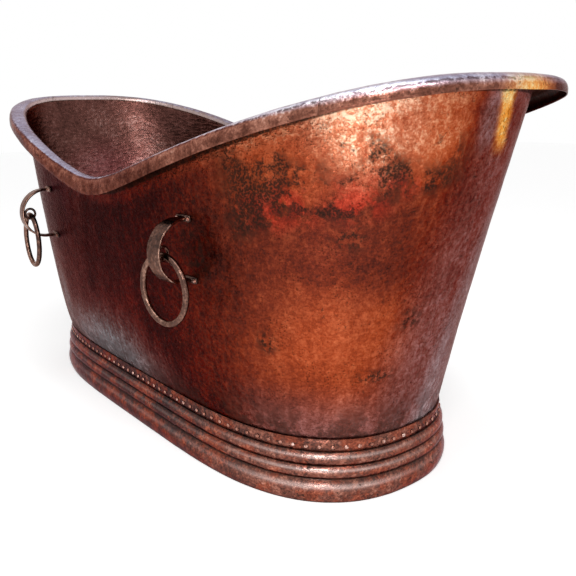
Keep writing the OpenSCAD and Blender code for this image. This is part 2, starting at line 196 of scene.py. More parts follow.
def beat(piece, depth, size, seed, share=1.0):
    """Hammers a mesh: shallow dishes of about one size with soft ridges between, over slow waves.
    Nothing is raised past the box of all the CAD parts together."""
    mesh = piece.data
    places = points_of(piece).astype(float)
    normals = np.empty(places.size, np.float32)
    mesh.vertex_normals.foreach_get("vector", normals)
    shift = Vector((seed * 3.7, seed * 1.3, seed * 2.1))
    heights = np.empty(len(places))
    for i, place in enumerate(places):
        here = Vector(place)
        near = noise.voronoi(here / size + shift)[0][0]
        heights[i] = (near * near - 0.25) * 0.8 + noise.noise(here / (size * 2.6) + shift)
    heights *= np.ravel(share)
    places += normals.reshape(-1, 3) * (heights * depth)[:, None]
    places = np.clip(places, *np.array(cad_bounds))
    mesh.vertices.foreach_set("co", places.ravel().astype(np.float32))
    mesh.update()


def feed(made, inputs):
    """Sets the inputs of a shader node, each to a value or to another node's output."""
    for key, value in inputs.items():
        if isinstance(value, bpy.types.NodeSocket):
            made.id_data.links.new(value, made.inputs[key])
        else:
            made.inputs[key].default_value = value


def node(beside, kind, inputs, **settings):
    """Adds a shader node to the tree that another node's output is in."""
    made = beside.id_data.nodes.new("ShaderNode" + kind)
    for setting, value in settings.items():
        setattr(made, setting, value)
    feed(made, inputs)
    return made


def work(operation, *parts):
    """Works through values from left to right. At least one is a node's output."""
    beside = next(part for part in parts if isinstance(part, bpy.types.NodeSocket))
    so_far = parts[0]
    for part in parts[1:] or [0.0]:
        so_far = node(beside, "Math", {0: so_far, 1: part}, operation=operation).outputs[0]
    return so_far


plus, minus, times, most = (partial(work, way) for way in ("ADD", "SUBTRACT", "MULTIPLY", "MAXIMUM"))


def weigh(tone, *layers):
    """The tone with layers added, each a share and its weight."""
    for share, weight in layers:
        tone = plus(tone, times(share, weight))
    return tone


def step(value, low, high, to_low=0.0, to_high=1.0):
    """A soft step of a value between low and high."""
    ends = {"Value": value, "From Min": low, "From Max": high, "To Min": to_low, "To Max": to_high}
    return node(value, "MapRange", ends, interpolation_type="SMOOTHSTEP").outputs[0]


def cloud(place, size, detail=6.0, rough=0.6, distort=0.0):
    """Noise whose lumps are about one size, spread out from 0 to 1."""
    shape = {"Vector": place, "Scale": 1.0 / size, "Detail": detail, "Roughness": rough}
    return step(node(place, "TexNoise", {**shape, "Distortion": distort}).outputs[0], 0.27, 0.73)


def stretched(place, x, y, z):
    """The place with each axis scaled, which draws a pattern out along the axes scaled down."""
    return node(place, "Mapping", {"Vector": place, "Scale": (x, y, z)}).outputs[0]


def xyz(vector):
    return node(vector, "SeparateXYZ", {0: vector}).outputs


def mark(place, name):
    return node(place, "Attribute", {}, attribute_name=name).outputs["Fac"]


def shifted(place, operation, by):
    return node(place, "VectorMath", {0: place, 1: by}, operation=operation).outputs[0]


def spot(place, centre, reach, wobble):
    """1 at a centre, fading to 0 at a reach along each axis, with a wandering edge."""
    drift = node(place, "TexNoise", {"Vector": place, "Scale": 9.0, "Detail": 6.0, "Roughness": 0.65})
    swing = shifted(drift.outputs["Color"], "SUBTRACT", (0.5, 0.5, 0.5))
    swing = node(place, "VectorMath", {0: swing, "Scale": wobble}, operation="SCALE").outputs[0]
    offset = shifted(shifted(place, "ADD", swing), "SUBTRACT", centre)
    away = node(place, "VectorMath", {0: shifted(offset, "DIVIDE", reach)}, operation="LENGTH")
    return step(away.outputs["Value"], 1.0, 0.15)


def zones(place, *spots):
    """1 inside any of the spots, each a centre, a reach and a wobble."""
    return most(0.0, *[spot(place, *each) for each in spots])


def tint(share, under, over):
    """Mixes a share of one colour over another."""
    return node(share, "Mix", {0: share, 6: under, 7: over}, data_type="RGBA").outputs[2]


def shades(value, tones):
    """A colour ramp through the tones, at equal steps from 0 to 1."""
    made = node(value, "ValToRGB", {0: value})
    stops = made.color_ramp.elements
    while len(stops) < len(tones):
        stops.new(0.5)
    for i, colour in enumerate(tones):
        stops[i].position = i / (len(tones) - 1)
        stops[i].color = (*colour, 1.0)
    return made.outputs[0]


def glaze(colour, tone, *coats):
    """The colour under painted coats, each a share, its strength and its ramp of tones: patina, and also
    painted highlights, sheens and reflections.
    """
    for share, strength, tones in coats:
        colour = tint(times(share, strength), colour, shades(tone, tones))
    return colour


def new_finish(name):
    """A new material, its shader, and the place that its patterns hang on."""
    made = bpy.data.materials.new(name)
    made.use_nodes = True
    shader = made.node_tree.nodes["Principled BSDF"]
    return made, shader, node(made.node_tree, "TexCoord", {}).outputs["Object"]


def beaten_metal(name, tones, patina, patina_share, lumps=0.16, dimple=0.013,
                 relief=0.0016, shine=0.22, coat=0.04, edge=(0.46, 0.26, 0.24),
                 layers=(0.2, 0.12, 0.2, 0.28, 0.2, -0.12), stain_and_light=None):
    """Hammered, patinated metal: drifting tones, dark blotches, pits, dimples and a fine orange peel.
    layers weigh drift, mottle, grain, speck, dimples and crinkle in the tone. The given staining function may
    change the tone, add dark patches and paint over the colour, with painted light and shade among these."""
    made, shader, place = new_finish(name)
    cell_place = stretched(place, *(1.0 / np.broadcast_to(dimple, 3)))
    cells = node(place, "TexVoronoi", {"Vector": cell_place, "Scale": 1.0, "Smoothness": 0.25},
                 feature="SMOOTH_F1")
    struck = work("POWER", cells.outputs["Distance"], 1.5)
    drift = cloud(place, lumps, 6.0, 0.6, 0.4)
    mottle = cloud(place, 0.03, 5.0, 0.65, 0.5)
    grain = cloud(place, 0.01, 3.0)
    speck = cloud(place, 0.0045, 3.0, 0.7)
    fold = work("ABSOLUTE", minus(cloud(place, 0.01, 2.0, 0.5), 0.5))
    crinkle = step(fold, 0.16, 0.01)
    tone = weigh(0.06, *zip((drift, mottle, grain, speck, struck, crinkle), layers))
    dark, paint = 0.0, None
    if stain_and_light:
        tone, dark, paint = stain_and_light(place, tone)
    colour = shades(tone, tones)
    if paint:
        colour = paint(colour)
    patch = cloud(place, lumps * 0.22, 9.0, 0.76, 0.8)
    patch = step(patch, 1.0 - patina_share - 0.08, 1.0 - patina_share + 0.08)
    patch = times(most(patch, dark), step(speck, 0.2, 0.6, 0.35, 1.0))
    # Dark patches take the patina colour: real patina and, where a stain gives it, painted shade.
    colour = tint(times(patch, 0.9), colour, (*patina, 1.0))
    pores = node(place, "TexVoronoi", {"Vector": place, "Scale": 260.0}, feature="F1")
    chosen = step(node(place, "SeparateColor", {0: pores.outputs["Color"]}).outputs[0], 0.55, 0.7)
    chosen = times(chosen, step(cloud(place, 0.06, 4.0, 0.7), 0.45, 0.8))
    pits = times(step(pores.outputs["Distance"], 0.6, 0.15), chosen)
    colour = tint(times(pits, 0.6), colour, (*[c * 0.3 for c in patina], 1.0))
    peel = cloud(place, 0.0045, 4.0, 0.7)
    height = minus(plus(struck, times(peel, 0.2)), times(crinkle, 0.12), times(pits, 0.3))
    bump = node(place, "Bump", {"Height": height, "Distance": relief, "Strength": 1.0})
    feed(shader, {
        "Base Color": colour, "Roughness": plus(times(grain, 0.1), times(patch, 0.4), shine),
        "Normal": bump.outputs[0], "Metallic": 1.0, "Specular Tint": (*edge, 1.0),
        "Coat Weight": coat, "Coat Roughness": 0.25})
    return made


turns = even_turns(columns)
wall_top = rim_height(turns) - 0.7 * lip_round
bend_top = floor_height + sheet + floor_bend
wall_rows = (np.arange(wall_steps + 1) / wall_steps) ** 1.25


def bowl_face(inset):
    """The rings of one face of the bowl, from the drain hole out to the rim."""
    circle = np.stack([np.cos(turns), np.sin(turns), 0.0 * turns], -1)
    low = [0, 0, floor_height + inset - floor_dish]
    middle = dish_radius * circle + low
    edge = base_ring(turns, -(floor_bend + sheet), floor_height + inset)
    rings = [circle * drain_hole_radius + low, middle]
    rings += [middle + (edge - middle) * share for share in np.linspace(0, 1, 25)[1:-1]]
    reach = floor_bend + sheet - inset
    for angle in np.radians(np.linspace(90, 0, 11)):
        grow = -(floor_bend + sheet) + reach * cos(angle)
        rings.append(base_ring(turns, grow, bend_top - reach * sin(angle)))
    for share in wall_rows:
        rings.append(plan(plinth_top + (wall_top - plinth_top) * share, turns, -inset))
    return rings


outer_rings = bowl_face(0.0)
inner_rings = bowl_face(sheet)
hidden_rows = len(outer_rings) - len(wall_rows)
up_the_wall = np.concatenate([np.zeros(hidden_rows), wall_rows])
bowl_rings = np.array(outer_rings + inner_rings[::-1])
bowl = skin("bowl_shell", bowl_rings, hem=bowl_rings[:, :, 2] - rim_height(turns) + lip_drop(turns))
rim_fade = np.clip((1.0 - up_the_wall) * 30, 0, 1)
outer_fade = np.minimum(1.0, up_the_wall * 12) * rim_fade
inner_fade = np.concatenate([np.linspace(0, 1, hidden_rows), np.ones(len(wall_rows))]) * rim_fade
fade = np.concatenate([outer_fade, inner_fade[::-1]])
beat(bowl, depth=0.0007, size=0.03, seed=1, share=np.repeat(fade, columns))


def outside_stain_and_light(place, tone):
    """Dark brown in the middle of the sides and orange-red at the ends, partly patina and partly painted
    light and shade, with a painted highlight at one corner. A broken tide of black patina crosses the right
    end, red below it, with a painted golden highlight in a narrow slanting band and a painted pale purple
    grazing reflection right of it, and a painted pale glint along the right edge. A painted blue-grey
    reflection lies low on the left of the front, within a painted dusky reflection, with a painted dark
    purple reflection near the far handle. Painted shade lies right under the lip, and painted light lifts
    the wall just below it."""
    x, y, z = xyz(place)
    # Painted highlight at the top of the near corner. Its texture also gets stronger contrast there.
    painted_highlight = zones(place, ((0.705, -0.215, 0.745), (0.13, 0.13, 0.15), 0.08))
    orange = zones(
        place, ((0.57, -0.3, 0.66), (0.17, 0.13, 0.11), 0.09), ((0.75, -0.11, 0.72), (0.1, 0.13, 0.14), 0.05),
        ((0.62, -0.18, 0.32), (0.22, 0.25, 0.21), 0.18), ((-0.6, 0.27, 0.58), (0.26, 0.22, 0.18), 0.16),
        ((0.56, 0.28, 0.45), (0.2, 0.2, 0.22), 0.16), ((-0.68, -0.05, 0.42), (0.12, 0.17, 0.2), 0.14))
    red = zones(
        place, ((0.685, -0.205, 0.615), (0.09, 0.1, 0.055), 0.06),
        ((0.715, -0.16, 0.645), (0.07, 0.09, 0.04), 0.05), ((0.57, -0.285, 0.6), (0.12, 0.1, 0.06), 0.07))
    red = times(red, step(cloud(place, 0.04, 6.0, 0.7), 0.25, 0.6))
    shadow = zones(
        place, ((0.41, -0.33, 0.47), (0.07, 0.1, 0.18), 0.05), ((0.68, -0.18, 0.5), (0.18, 0.2, 0.055), 0.1),
        ((0.73, 0.03, 0.58), (0.12, 0.09, 0.08), 0.06))
    lean = plus(y, times(z, 0.22), times(cloud(place, 0.03, 4.0), 0.008))
    # Painted golden highlight: a narrow slanting streak high on the right end.
    gold_glint = step(work("ABSOLUTE", minus(lean, 0.232)), 0.032, 0.004)
    gold_glint = times(gold_glint, step(z, 0.67, 0.72), step(x, 0.3, 0.4))
    slant = plus(y, times(minus(0.5, z), 0.25))
    right_end = times(step(x, 0.35, 0.5), step(y, 0.24, 0.14))
    # Painted lilac sheen of grazing reflection over the right end: beside the golden streak, half as strong
    # low down, and in one spot by the rim.
    lilac_sheen = most(times(step(slant, -0.09, 0.07), 0.75), step(z, 0.27, 0.15, 0.0, 0.5),
                 zones(place, ((0.77, 0.03, 0.75), (0.1, 0.055, 0.11), 0.04)))
    lilac_sheen = times(lilac_sheen, right_end)
    # Painted pale glint along the right edge of the right end.
    edge_glint = times(step(slant, 0.07, 0.14), right_end)
    amber = zones(place, ((0.755, -0.085, 0.735), (0.11, 0.1, 0.09), 0.06))
    # Painted blue-grey reflection of the floor, low on the left of the front.
    haze_reflection = zones(place, ((-0.12, -0.3, 0.16), (0.46, 0.12, 0.17), 0.08),
                 ((-0.38, -0.31, 0.22), (0.07, 0.07, 0.2), 0.04))
    # Painted dark violet reflection of the sky near the far handle.
    violet_reflection = zones(place, ((-0.36, -0.33, 0.54), (0.24, 0.12, 0.16), 0.06))
    # Painted dusky blue-grey reflection over the left of the front, at up to half strength.
    dusk_reflection = times(step(x, 0.22, -0.4, 0.0, 0.5), step(y, -0.08, -0.24))

    # The ends are lifted partly for their orange patina and partly as painted light, which leaves the middle
    # of the sides darker as painted shade.
    lit_warm_ends = most(step(x, 0.26, 0.54), step(x, -0.66, -0.78))
    streaks = cloud(stretched(place, 1.0, 1.0, 0.08), 0.022, 5.0, 0.65)
    brushed = cloud(stretched(place, 0.3, 0.3, 1.0), 0.004, 3.0)
    lift = weigh(
        times(lit_warm_ends, 0.25), (painted_highlight, 0.12), (orange, 0.06), (red, 0.03), (shadow, -0.09), (streaks, 0.1),
        (gold_glint, 0.26), (brushed, 0.07), (step(z, 0.25, 0.15), 0.03), (haze_reflection, 0.34), (edge_glint, 0.14),
        (amber, 0.2))
    contrast = plus(times(painted_highlight, 0.7), 0.74)
    tone = plus(times(minus(tone, 0.5), contrast), lift, 0.158)

    wander = minus(cloud(place, 0.14, 5.0, 0.55), 0.5)
    tide = plus(minus(z, times(plus(y, 0.28), 0.28)), times(wander, 0.12))
    near = work("ABSOLUTE", minus(tide, 0.625))
    broken = step(cloud(place, 0.055, 10.0, 0.72), 0.35, 0.53)
    dark = times(step(near, 0.08, 0.025), broken, step(x, 0.42, 0.5), step(y, 0.05, -0.08))
    blots = zones(
        place, ((0.667, -0.205, 0.551), (0.05, 0.06, 0.04), 0.03),
        ((0.685, -0.055, 0.382), (0.04, 0.05, 0.035), 0.03), ((0.52, -0.27, 0.34), (0.035, 0.05, 0.04), 0.03),
        ((0.65, -0.107, 0.268), (0.05, 0.08, 0.025), 0.03), ((0.37, -0.33, 0.49), (0.06, 0.08, 0.09), 0.05),
        ((0.48, -0.32, 0.68), (0.03, 0.08, 0.07), 0.04))
    blots = times(blots, step(cloud(place, 0.014, 5.0, 0.7), 0.42, 0.6))
    dirt = step(z, 0.23, 0.14, 0.0, 0.7)
    hem = mark(place, "hem")
    # The last term paints shade on the wall just under the lip's apron.
    dark = most(dark, times(dirt, broken), blots, step(hem, -0.003, 0.0005))
    # Painted light: the wall just below the lip is lifted against the shadow that the lip casts.
    tone = plus(tone, times(step(hem, -0.038, -0.008), 0.2))

    def paint(colour):
        return glaze(
            colour, tone, (dusk_reflection, 1.0, reflection_tones), (orange, 0.85, orange_tones), (red, 0.9, red_tones),
            (lilac_sheen, 1.0, lilac_sheen_tones), (painted_highlight, 1.0, highlight_tones), (gold_glint, 0.95, gold_glint_tones),
            (edge_glint, 0.45, reflection_tones), (haze_reflection, 1.0, reflection_tones), (violet_reflection, 0.7, violet_reflection_tones))

    return tone, dark, paint


copper_tones = [(0.006, 0.003, 0.003), (0.036, 0.009, 0.007), (0.135, 0.021, 0.01), (0.27, 0.052, 0.022),
    (0.52, 0.17, 0.085)]
orange_tones = [(0.02, 0.006, 0.004), (0.11, 0.016, 0.006), (0.3, 0.046, 0.013), (0.5, 0.11, 0.04),
    (0.85, 0.38, 0.2)]
red_tones = [(0.03, 0.005, 0.005), (0.11, 0.01, 0.007), (0.28, 0.022, 0.011), (0.48, 0.055, 0.028),
    (0.75, 0.25, 0.15)]
# Tones of the painted lilac sheen.
lilac_sheen_tones = [(0.014, 0.007, 0.007), (0.055, 0.022, 0.02), (0.18, 0.075, 0.066), (0.32, 0.18, 0.185),
    (0.56, 0.4, 0.44)]
# Tones of the painted golden highlights on the wall and at the lip's tip.
gold_glint_tones = [(0.12, 0.026, 0.004), (0.4, 0.09, 0.01), (0.72, 0.2, 0.028), (0.95, 0.42, 0.08),
    (1.0, 0.78, 0.34)]
# Tones of the painted highlight at the near corner.
highlight_tones = [(0.08, 0.014, 0.008), (0.22, 0.036, 0.016), (0.43, 0.095, 0.04), (0.64, 0.23, 0.12),
    (0.95, 0.62, 0.43)]
# Tones of the painted blue-grey reflections and of the painted glint.
reflection_tones = [(0.01, 0.01, 0.012), (0.05, 0.05, 0.054), (0.13, 0.143, 0.151), (0.3, 0.325, 0.35),
    (0.6, 0.64, 0.68)]
# Tones of the painted violet reflection.
violet_reflection_tones = [(0.004, 0.003, 0.008), (0.016, 0.01, 0.024), (0.045, 0.03, 0.06), (0.12, 0.09, 0.14),
    (0.4, 0.36, 0.44)]
# The dark patina colour, which also paints the shade under the lip and in its hollow.
dark_patina_and_shade = (0.022, 0.014, 0.01)
bowl.data.materials.append(beaten_metal(
    "copper_outside", copper_tones, dark_patina_and_shade, 0.1, lumps=0.2,
    layers=(0.24, 0.16, 0.16, 0.26, 0.14, -0.05), stain_and_light=outside_stain_and_light))
inside_tones = [(0.01, 0.005, 0.004), (0.036, 0.013, 0.01), (0.11, 0.042, 0.034), (0.25, 0.14, 0.122),
    (0.5, 0.37, 0.35)]
maroon_tones = [(0.012, 0.004, 0.004), (0.05, 0.012, 0.011), (0.13, 0.034, 0.034), (0.26, 0.1, 0.098),
    (0.46, 0.28, 0.28)]


def inside_stain_and_light(place, tone):
    """Level ripples left by the hammer follow the wall round. At the left end stand a painted highlight in a
    narrow upright band and a maroon patch, and painted shade darkens the top edge where the lip comes over
    it."""
    ripple = cloud(stretched(place, 0.45, 0.45, 1.0), 0.006, 3.0)
    # Painted highlight: a pale upright streak on the inside of the left end.
    highlight_streak = spot(place, (-0.7, 0.15, 0.6), (0.14, 0.075, 0.4), 0.02)
    deep = spot(place, (-0.7, 0.02, 0.55), (0.24, 0.22, 0.17), 0.08)
    tone = weigh(times(tone, 0.74), (ripple, 0.11), (highlight_streak, 0.09), (deep, 0.15))

    def paint(colour):
        return glaze(colour, tone, (deep, 0.9, maroon_tones))

    # The dark mark paints shade on the inside's top edge, where the lip comes over it.
    return tone, step(mark(place, "hem"), 0.02, 0.034), paint


bowl.data.materials.append(beaten_metal(
    "copper_inside", inside_tones, (0.018, 0.01, 0.008), 0.14, lumps=0.15, dimple=(0.026, 0.026, 0.01),
    relief=0.0013, shine=0.17, edge=(0.6, 0.38, 0.36), layers=(0.3, 0.16, 0.16, 0.2, 0.14, -0.06),
    stain_and_light=inside_stain_and_light))
face_rows = np.repeat(np.arange(len(bowl_rings)), columns)
bowl.data.polygons.foreach_set("material_index", (face_rows >= len(outer_rings)).astype(np.int32))
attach(bowl, "tub")
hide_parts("bowl")

# ---- Lip ----
# The rim is capped with copper sheet in four lengths, brazed end to end. Each is turned out flat and then
# down as an apron, open underneath, and its inner edge is dressed over the bowl's edge.
lip_side, lip_end = 0.03, 0.056
lip_square = 0.6
lip_proud = 0.001
edge_round = 0.0007
arc_points, over_points, edge_points = 10, 22, 4
seam_turns = even_turns(120)[[9, 51, 69, 111]]
seam_ease = 0.0016 / 0.7
seam_tuck = 0.008
seam_grime = 0.003
up_axis = np.array([0.0, 0.0, 1.0])


def arc(first, corner, last, shares):
    """Points on a smooth bend from first to last, drawn towards a corner."""
    return list((1 - shares) ** 2 * first + 2 * shares * (1 - shares) * corner + shares**2 * last)


def lip_section(turn, tuck):
    """A closed section of the lip at one turn: up the bowl's inner face, out over the top, down the apron
    and back underneath. tuck draws it in where two lengths meet."""
    top = rim_height(turn)
    width = lip_side + (lip_end - lip_side) * cos(turn) ** 2
    drop = lip_drop(turn)
    angles = np.radians(np.linspace(0, 90, over_points + 1))
    start = lip_round - lip_proud
    across = np.sin(angles) ** lip_square
    down = 1 - np.cos(angles) ** lip_square
    over = [(start + (width + sheet - start) * a, -drop * d) for a, d in zip(across, down)][:-1]
    edge = [(width + sheet, -drop + edge_round), (width + sheet - edge_round, -drop),
            (width + edge_round, -drop), (width, -drop + edge_round)]
    under = [(start + (width - start) * a, -sheet - (drop - sheet) * d) for a, d in zip(across, down)]
    foot = plan(top, turn, -sheet)
    low = plan(top - lip_round, turn, -sheet)
    out = plan_out(top, turn)
    shares = np.linspace(0, 1, arc_points + 1)[:-1, None]
    points = arc(low - out * lip_proud, foot - out * lip_proud, foot + out * start, shares)
    points += [foot + out * x + up_axis * y for x, y in over + edge + under[-2::-1]]
    points += arc(low + out * 0.0006, foot + out * 0.0008 - up_axis * 0.0016,
                  foot + out * start - up_axis * sheet, shares[::-1])
    points += [low + out * 0.0002 - up_axis * 0.0008, low - out * 0.0006 - up_axis * 0.001]
    points = np.array(points)
    centre = foot + out * width * 0.5 - up_axis * 0.5 * sheet
    outside = np.arange(len(points))[:, None] < arc_points + over_points + 2
    return points + (centre - points) * outside * tuck


lip_tones = [(0.02, 0.007, 0.005), (0.075, 0.023, 0.014), (0.21, 0.074, 0.048), (0.44, 0.19, 0.13),
    (0.8, 0.52, 0.43)]
# Tones of the painted sky reflection on the lip's top.
sky_reflection_tones = [(0.08, 0.055, 0.066), (0.21, 0.19, 0.25), (0.36, 0.37, 0.5), (0.52, 0.55, 0.72),
    (0.85, 0.88, 1.0)]
fleck_red = (0.05, 0.012, 0.012, 1.0)
# Colour of the painted highlight on the left end's inner edge.
cream_highlight = (0.33, 0.22, 0.17, 1.0)
# Colour of the painted highlight along the lip's inner edge.
edge_highlight_copper = (0.62, 0.45, 0.43, 1.0)


def lip_stain_and_light(place, tone):
    """A painted cool grey sky reflection on top, brighter at the front, with upward faces lighter and
    downward faces darker as painted light. A painted pale highlight runs along the inner edge and a painted
    golden highlight sits at the right tip. Dark red flecks follow the bend to a brown apron. Grime sits in
    the brazed joints, and painted shade darkens the hollow underside."""
    x, y = xyz(place)[:2]
    facing = xyz(node(place, "NewGeometry", {}).outputs["Normal"])[2]
    up = plus(facing, times(minus(tone, 0.5), 0.35))
    inner = mark(place, "inner")
    bend_start = minus(step(x, 0.45, 0.75, 0.7, 0.15), step(x, -0.25, -0.6, 0.0, 0.3))
    # Painted sky reflection: faces turned upwards, and the upper inner edge, take cool blue-grey tones.
    top = node(place, "MapRange", {"Value": up, "From Min": bend_start, "From Max": 0.84}).outputs[0]
    top = most(top, times(inner, step(up, 0.02, 0.25)))
    bend = times(step(up, 0.4, 0.6), step(up, 0.82, 0.68), minus(1.0, inner))
    flecks = times(bend, step(cloud(place, 0.012, 5.0, 0.75), 0.34, 0.56))
    rear = step(y, -0.02, 0.14)
    # Painted reflection: the top is lifted brighter along the front.
    front_sky_sheen = times(step(y, -0.15, -0.32), step(x, -0.15, 0.25), top)
    # Painted light: faces turned upwards are lighter and faces turned downwards darker.
    crest = minus(step(up, -0.05, 0.5), 0.55)
    # Painted golden highlight at the lip's right tip.
    gold_glint = spot(place, (0.835, 0.02, 0.79), (0.06, 0.1, 0.05), 0.03)
    tone = plus(tone, step(x, 0.2, 0.6, -0.06, 0.06))
    tone = weigh(tone, (rear, -0.22), (front_sky_sheen, 0.26), (top, 0.05), (crest, 0.2), (gold_glint, 0.42))
    # Painted highlight: a cream band along the inner edge of the left end.
    left_edge_highlight = times(inner, step(x, -0.25, -0.55), step(up, 0.97, 0.75, 0.0, 0.7))
    # Painted highlight along the lip's inner edge, stronger at the front than at the back.
    worn = times(mark(place, "worn"), step(y, -0.02, 0.14, 0.65, 0.2))

    def paint(colour):
        colour = glaze(colour, tone, (top, 0.92, sky_reflection_tones))
        for share, pale in ((times(flecks, 0.8), fleck_red), (left_edge_highlight, cream_highlight), (worn, edge_highlight_copper)):
            colour = tint(share, colour, pale)
        return glaze(colour, tone, (gold_glint, 0.9, gold_glint_tones))

    # The grime mark darkens the brazed joints and paints shade over the hollow underside.
    return tone, mark(place, "grime"), paint


lip_metal = beaten_metal(
    "copper_lip", lip_tones, dark_patina_and_shade, 0.1, lumps=0.12, dimple=0.015, relief=0.0008,
    shine=0.18, coat=0.1, edge=(0.55, 0.42, 0.42), layers=(0.22, 0.22, 0.18, 0.2, 0.14, -0.06),
    stain_and_light=lip_stain_and_light)
for i, name in enumerate(["lip_rear", "lip_left_end", "lip_front", "lip_right_end"]):
    start = seam_turns[i]
    end = seam_turns[(i + 1) % 4] + (2 * pi if i == 3 else 0)
    count = max(24, int((end - start) / (2 * pi) * columns * 1.15))
    between = np.linspace(start, end, count)[1:-1]
    lip_turns = np.concatenate([[start, start + seam_ease], between, [end - seam_ease, end]])
    from_seam = np.minimum(lip_turns - start, end - lip_turns)
    tucks = np.where(from_seam < 1e-9, seam_tuck, 0.0)
    sections = [lip_section(turn, tuck) for turn, tuck in zip(lip_turns, tucks)]
    grime = 0.6 * np.exp(-((from_seam / seam_grime) ** 2))
    points = len(sections[0])
    order = np.arange(points)
    # The hollow underside gets painted shade through the grime mark, besides the grime at the brazed joints.
    shaded_underside = (order > arc_points + over_points + edge_points) & (order < points - 2)
    # The worn mark paints a pale highlight along the inner edge.
    piece = skin(name + "_sheet", sections, False, worn=np.exp(-(((order - 2.0) / 1.6) ** 2)),
                 inner=order <= arc_points, grime=np.maximum(grime[:, None], shaded_underside))
    row = np.arange(len(sections))
    from_end = np.minimum(row, row[::-1])
    held = np.where((order > 2) & (order < points - arc_points - 2), 1.0, 0.1)
    share = np.minimum(1.0, from_end / 4.0)[:, None] * held
    beat(piece, depth=0.0006, size=0.034, seed=2 + i, share=share)
    piece.data.materials.append(lip_metal)
    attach(piece, "tub")
    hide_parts(name)

# ---- Plinth ----
# A flat riveted band over three half-round mouldings that step outwards, all beaten copper strip wrapped
# round an inner sheet and standing on a flat ring. Dirt has settled in the joints, the crests are rubbed,
# and a painted highlight runs along each moulding.
strip = 0.002
seat = 0.0002
strip_ease = 0.0006
band_height = 0.027
band_bottom = plinth_top - band_height
bead_heights = [0.028, 0.027, band_bottom - 0.055]
bead_step, bead_bulge = 0.0035, 0.0065
bead_points = 17
# Where the painted highlight runs on each moulding, and how wide it is.
highlight_at, highlight_width = 0.28, 0.09
ring_width = 0.04
foot_thickness = 0.003
foot_out = band_standoff + 3 * bead_step - strip - seat


def plan_strip(name, replaced, section, seed, depth, crest=0.3, shine=0.0):
    """A strip of sheet round the whole plan. Each point of the section is an offset and a height."""
    crest, shine = np.reshape(crest, (-1, 1)), np.reshape(shine, (-1, 1))
    rings = [base_ring(turns, offset, z) for offset, z in section]
    piece = skin(name, rings, worn=crest, grime=1 - crest, shine=shine)
    beat(piece, depth, size=0.024, seed=seed)
    piece.data.materials.append(plinth_metal)
    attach(piece, "tub")
    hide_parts(replaced)


def flat_section(inner, outer, low, high):
    """A flat strip with its outer edges eased."""
    return [(outer - strip_ease, high), (outer, high - strip_ease), (outer, (high + low) / 2),
            (outer, low + strip_ease), (outer - strip_ease, low), (inner, low), (inner, high)]


def plinth_stain_and_highlight(place, tone):
    """Rubbed crests with a painted highlight along them, strongest at the right, dark joints, and a duller
    left half.
    """
    lift = step(xyz(place)[0], 0.1, 0.52, -0.29, 0.0)
    rubbed = work("POWER", mark(place, "worn"), 3.0)
    # Painted highlight: a pale line along the upper part of each moulding, strongest near the right front
    # corner.
    highlight_spot = spot(place, (0.6, -0.2, 0.07), (0.26, 0.26, 0.14), 0.03)
    highlight_line = times(mark(place, "shine"), plus(times(highlight_spot, 0.8), 0.2))
    tone = weigh(minus(tone, 0.11), (rubbed, 0.06), (highlight_line, 0.22))
    rust = step(cloud(place, 0.05, 6.0, 0.65), 0.45, 0.7)

    def paint(colour):
        colour = glaze(colour, tone, (rust, 0.5, orange_tones))
        return tint(times(highlight_line, 0.5), colour, highlight_copper)

    return plus(tone, lift), step(mark(place, "grime"), 0.52, 0.92), paint


# Colour of the painted highlight on the mouldings.
highlight_copper = (0.72, 0.6, 0.57, 1.0)
plinth_tones = [(0.018, 0.009, 0.008), (0.075, 0.027, 0.02), (0.21, 0.068, 0.044), (0.42, 0.18, 0.125),
    (0.8, 0.6, 0.54)]
plinth_metal = beaten_metal(
    "copper_plinth", plinth_tones, dark_patina_and_shade, 0.2, lumps=0.1, relief=0.0007, shine=0.12, coat=0.22,
    edge=(0.55, 0.38, 0.4), layers=(0.16, 0.12, 0.22, 0.32, 0.2, -0.14), stain_and_light=plinth_stain_and_highlight)
plan_strip("rivet_band_strip", "rivet_band",
           flat_section(band_standoff - strip, band_standoff, band_bottom + seat, plinth_top),
           11, 0.0003, crest=[0.2, 0.6, 0.5, 0.4, 0.0, 0.0, 0.0])
plan_strip("plinth_inner_sheet", "plinth_sheet",
           flat_section(seat, strip + seat, foot_thickness + seat, plinth_top - seat), 12, 0.0)
plan_strip("foot_flat_ring", "foot_ring",
           flat_section(foot_out - ring_width, foot_out, 0.0, foot_thickness), 13, 0.0)
high_edge = band_bottom
for i, (name, height) in enumerate(zip(["bead_top", "bead_middle", "bead_bottom"], bead_heights)):
    high = high_edge - seat / 2
    low = high_edge - height + (seat / 2 if i < 2 else 0.0)
    shares = (1 - np.cos(np.linspace(0, pi, bead_points))) / 2
    face = [(band_standoff + bead_step * (i + s) + bead_bulge * sin(pi * s) ** 0.8,
             high + (low - high) * s) for s in shares]
    back = [(offset - strip, z) for offset, z in face[::-1]]
    plain = [0.0] * bead_points
    crest = [sin(pi * s) ** 0.7 for s in shares]
    # shine marks the painted highlight on each moulding.
    shine = [exp(-(((s - highlight_at) / highlight_width) ** 2)) for s in shares]
    plan_strip(name + "_moulding", name, face + back, 14 + i, 0.0004, crest + plain, shine + plain)
    high_edge -= height

# ---- Rivets of the band ----
# Domed copper rivets along the lower part of the band, which hold it to the sheet behind. They are set by
# hand, so that each head sits and leans a little differently.
rivet_z = band_bottom + 0.4 * band_height
rivet_radius, rivet_rise = 0.0045, 0.0032
head_rows, head_points = 9, 20


def rivet_wear_and_highlight(place, tone):
    """Heads rubbed pale towards their tops, partly as a painted highlight, with dirt round their skirts."""
    return weigh(tone, (mark(place, "worn"), 0.24)), step(mark(place, "grime"), 0.55, 0.95), None


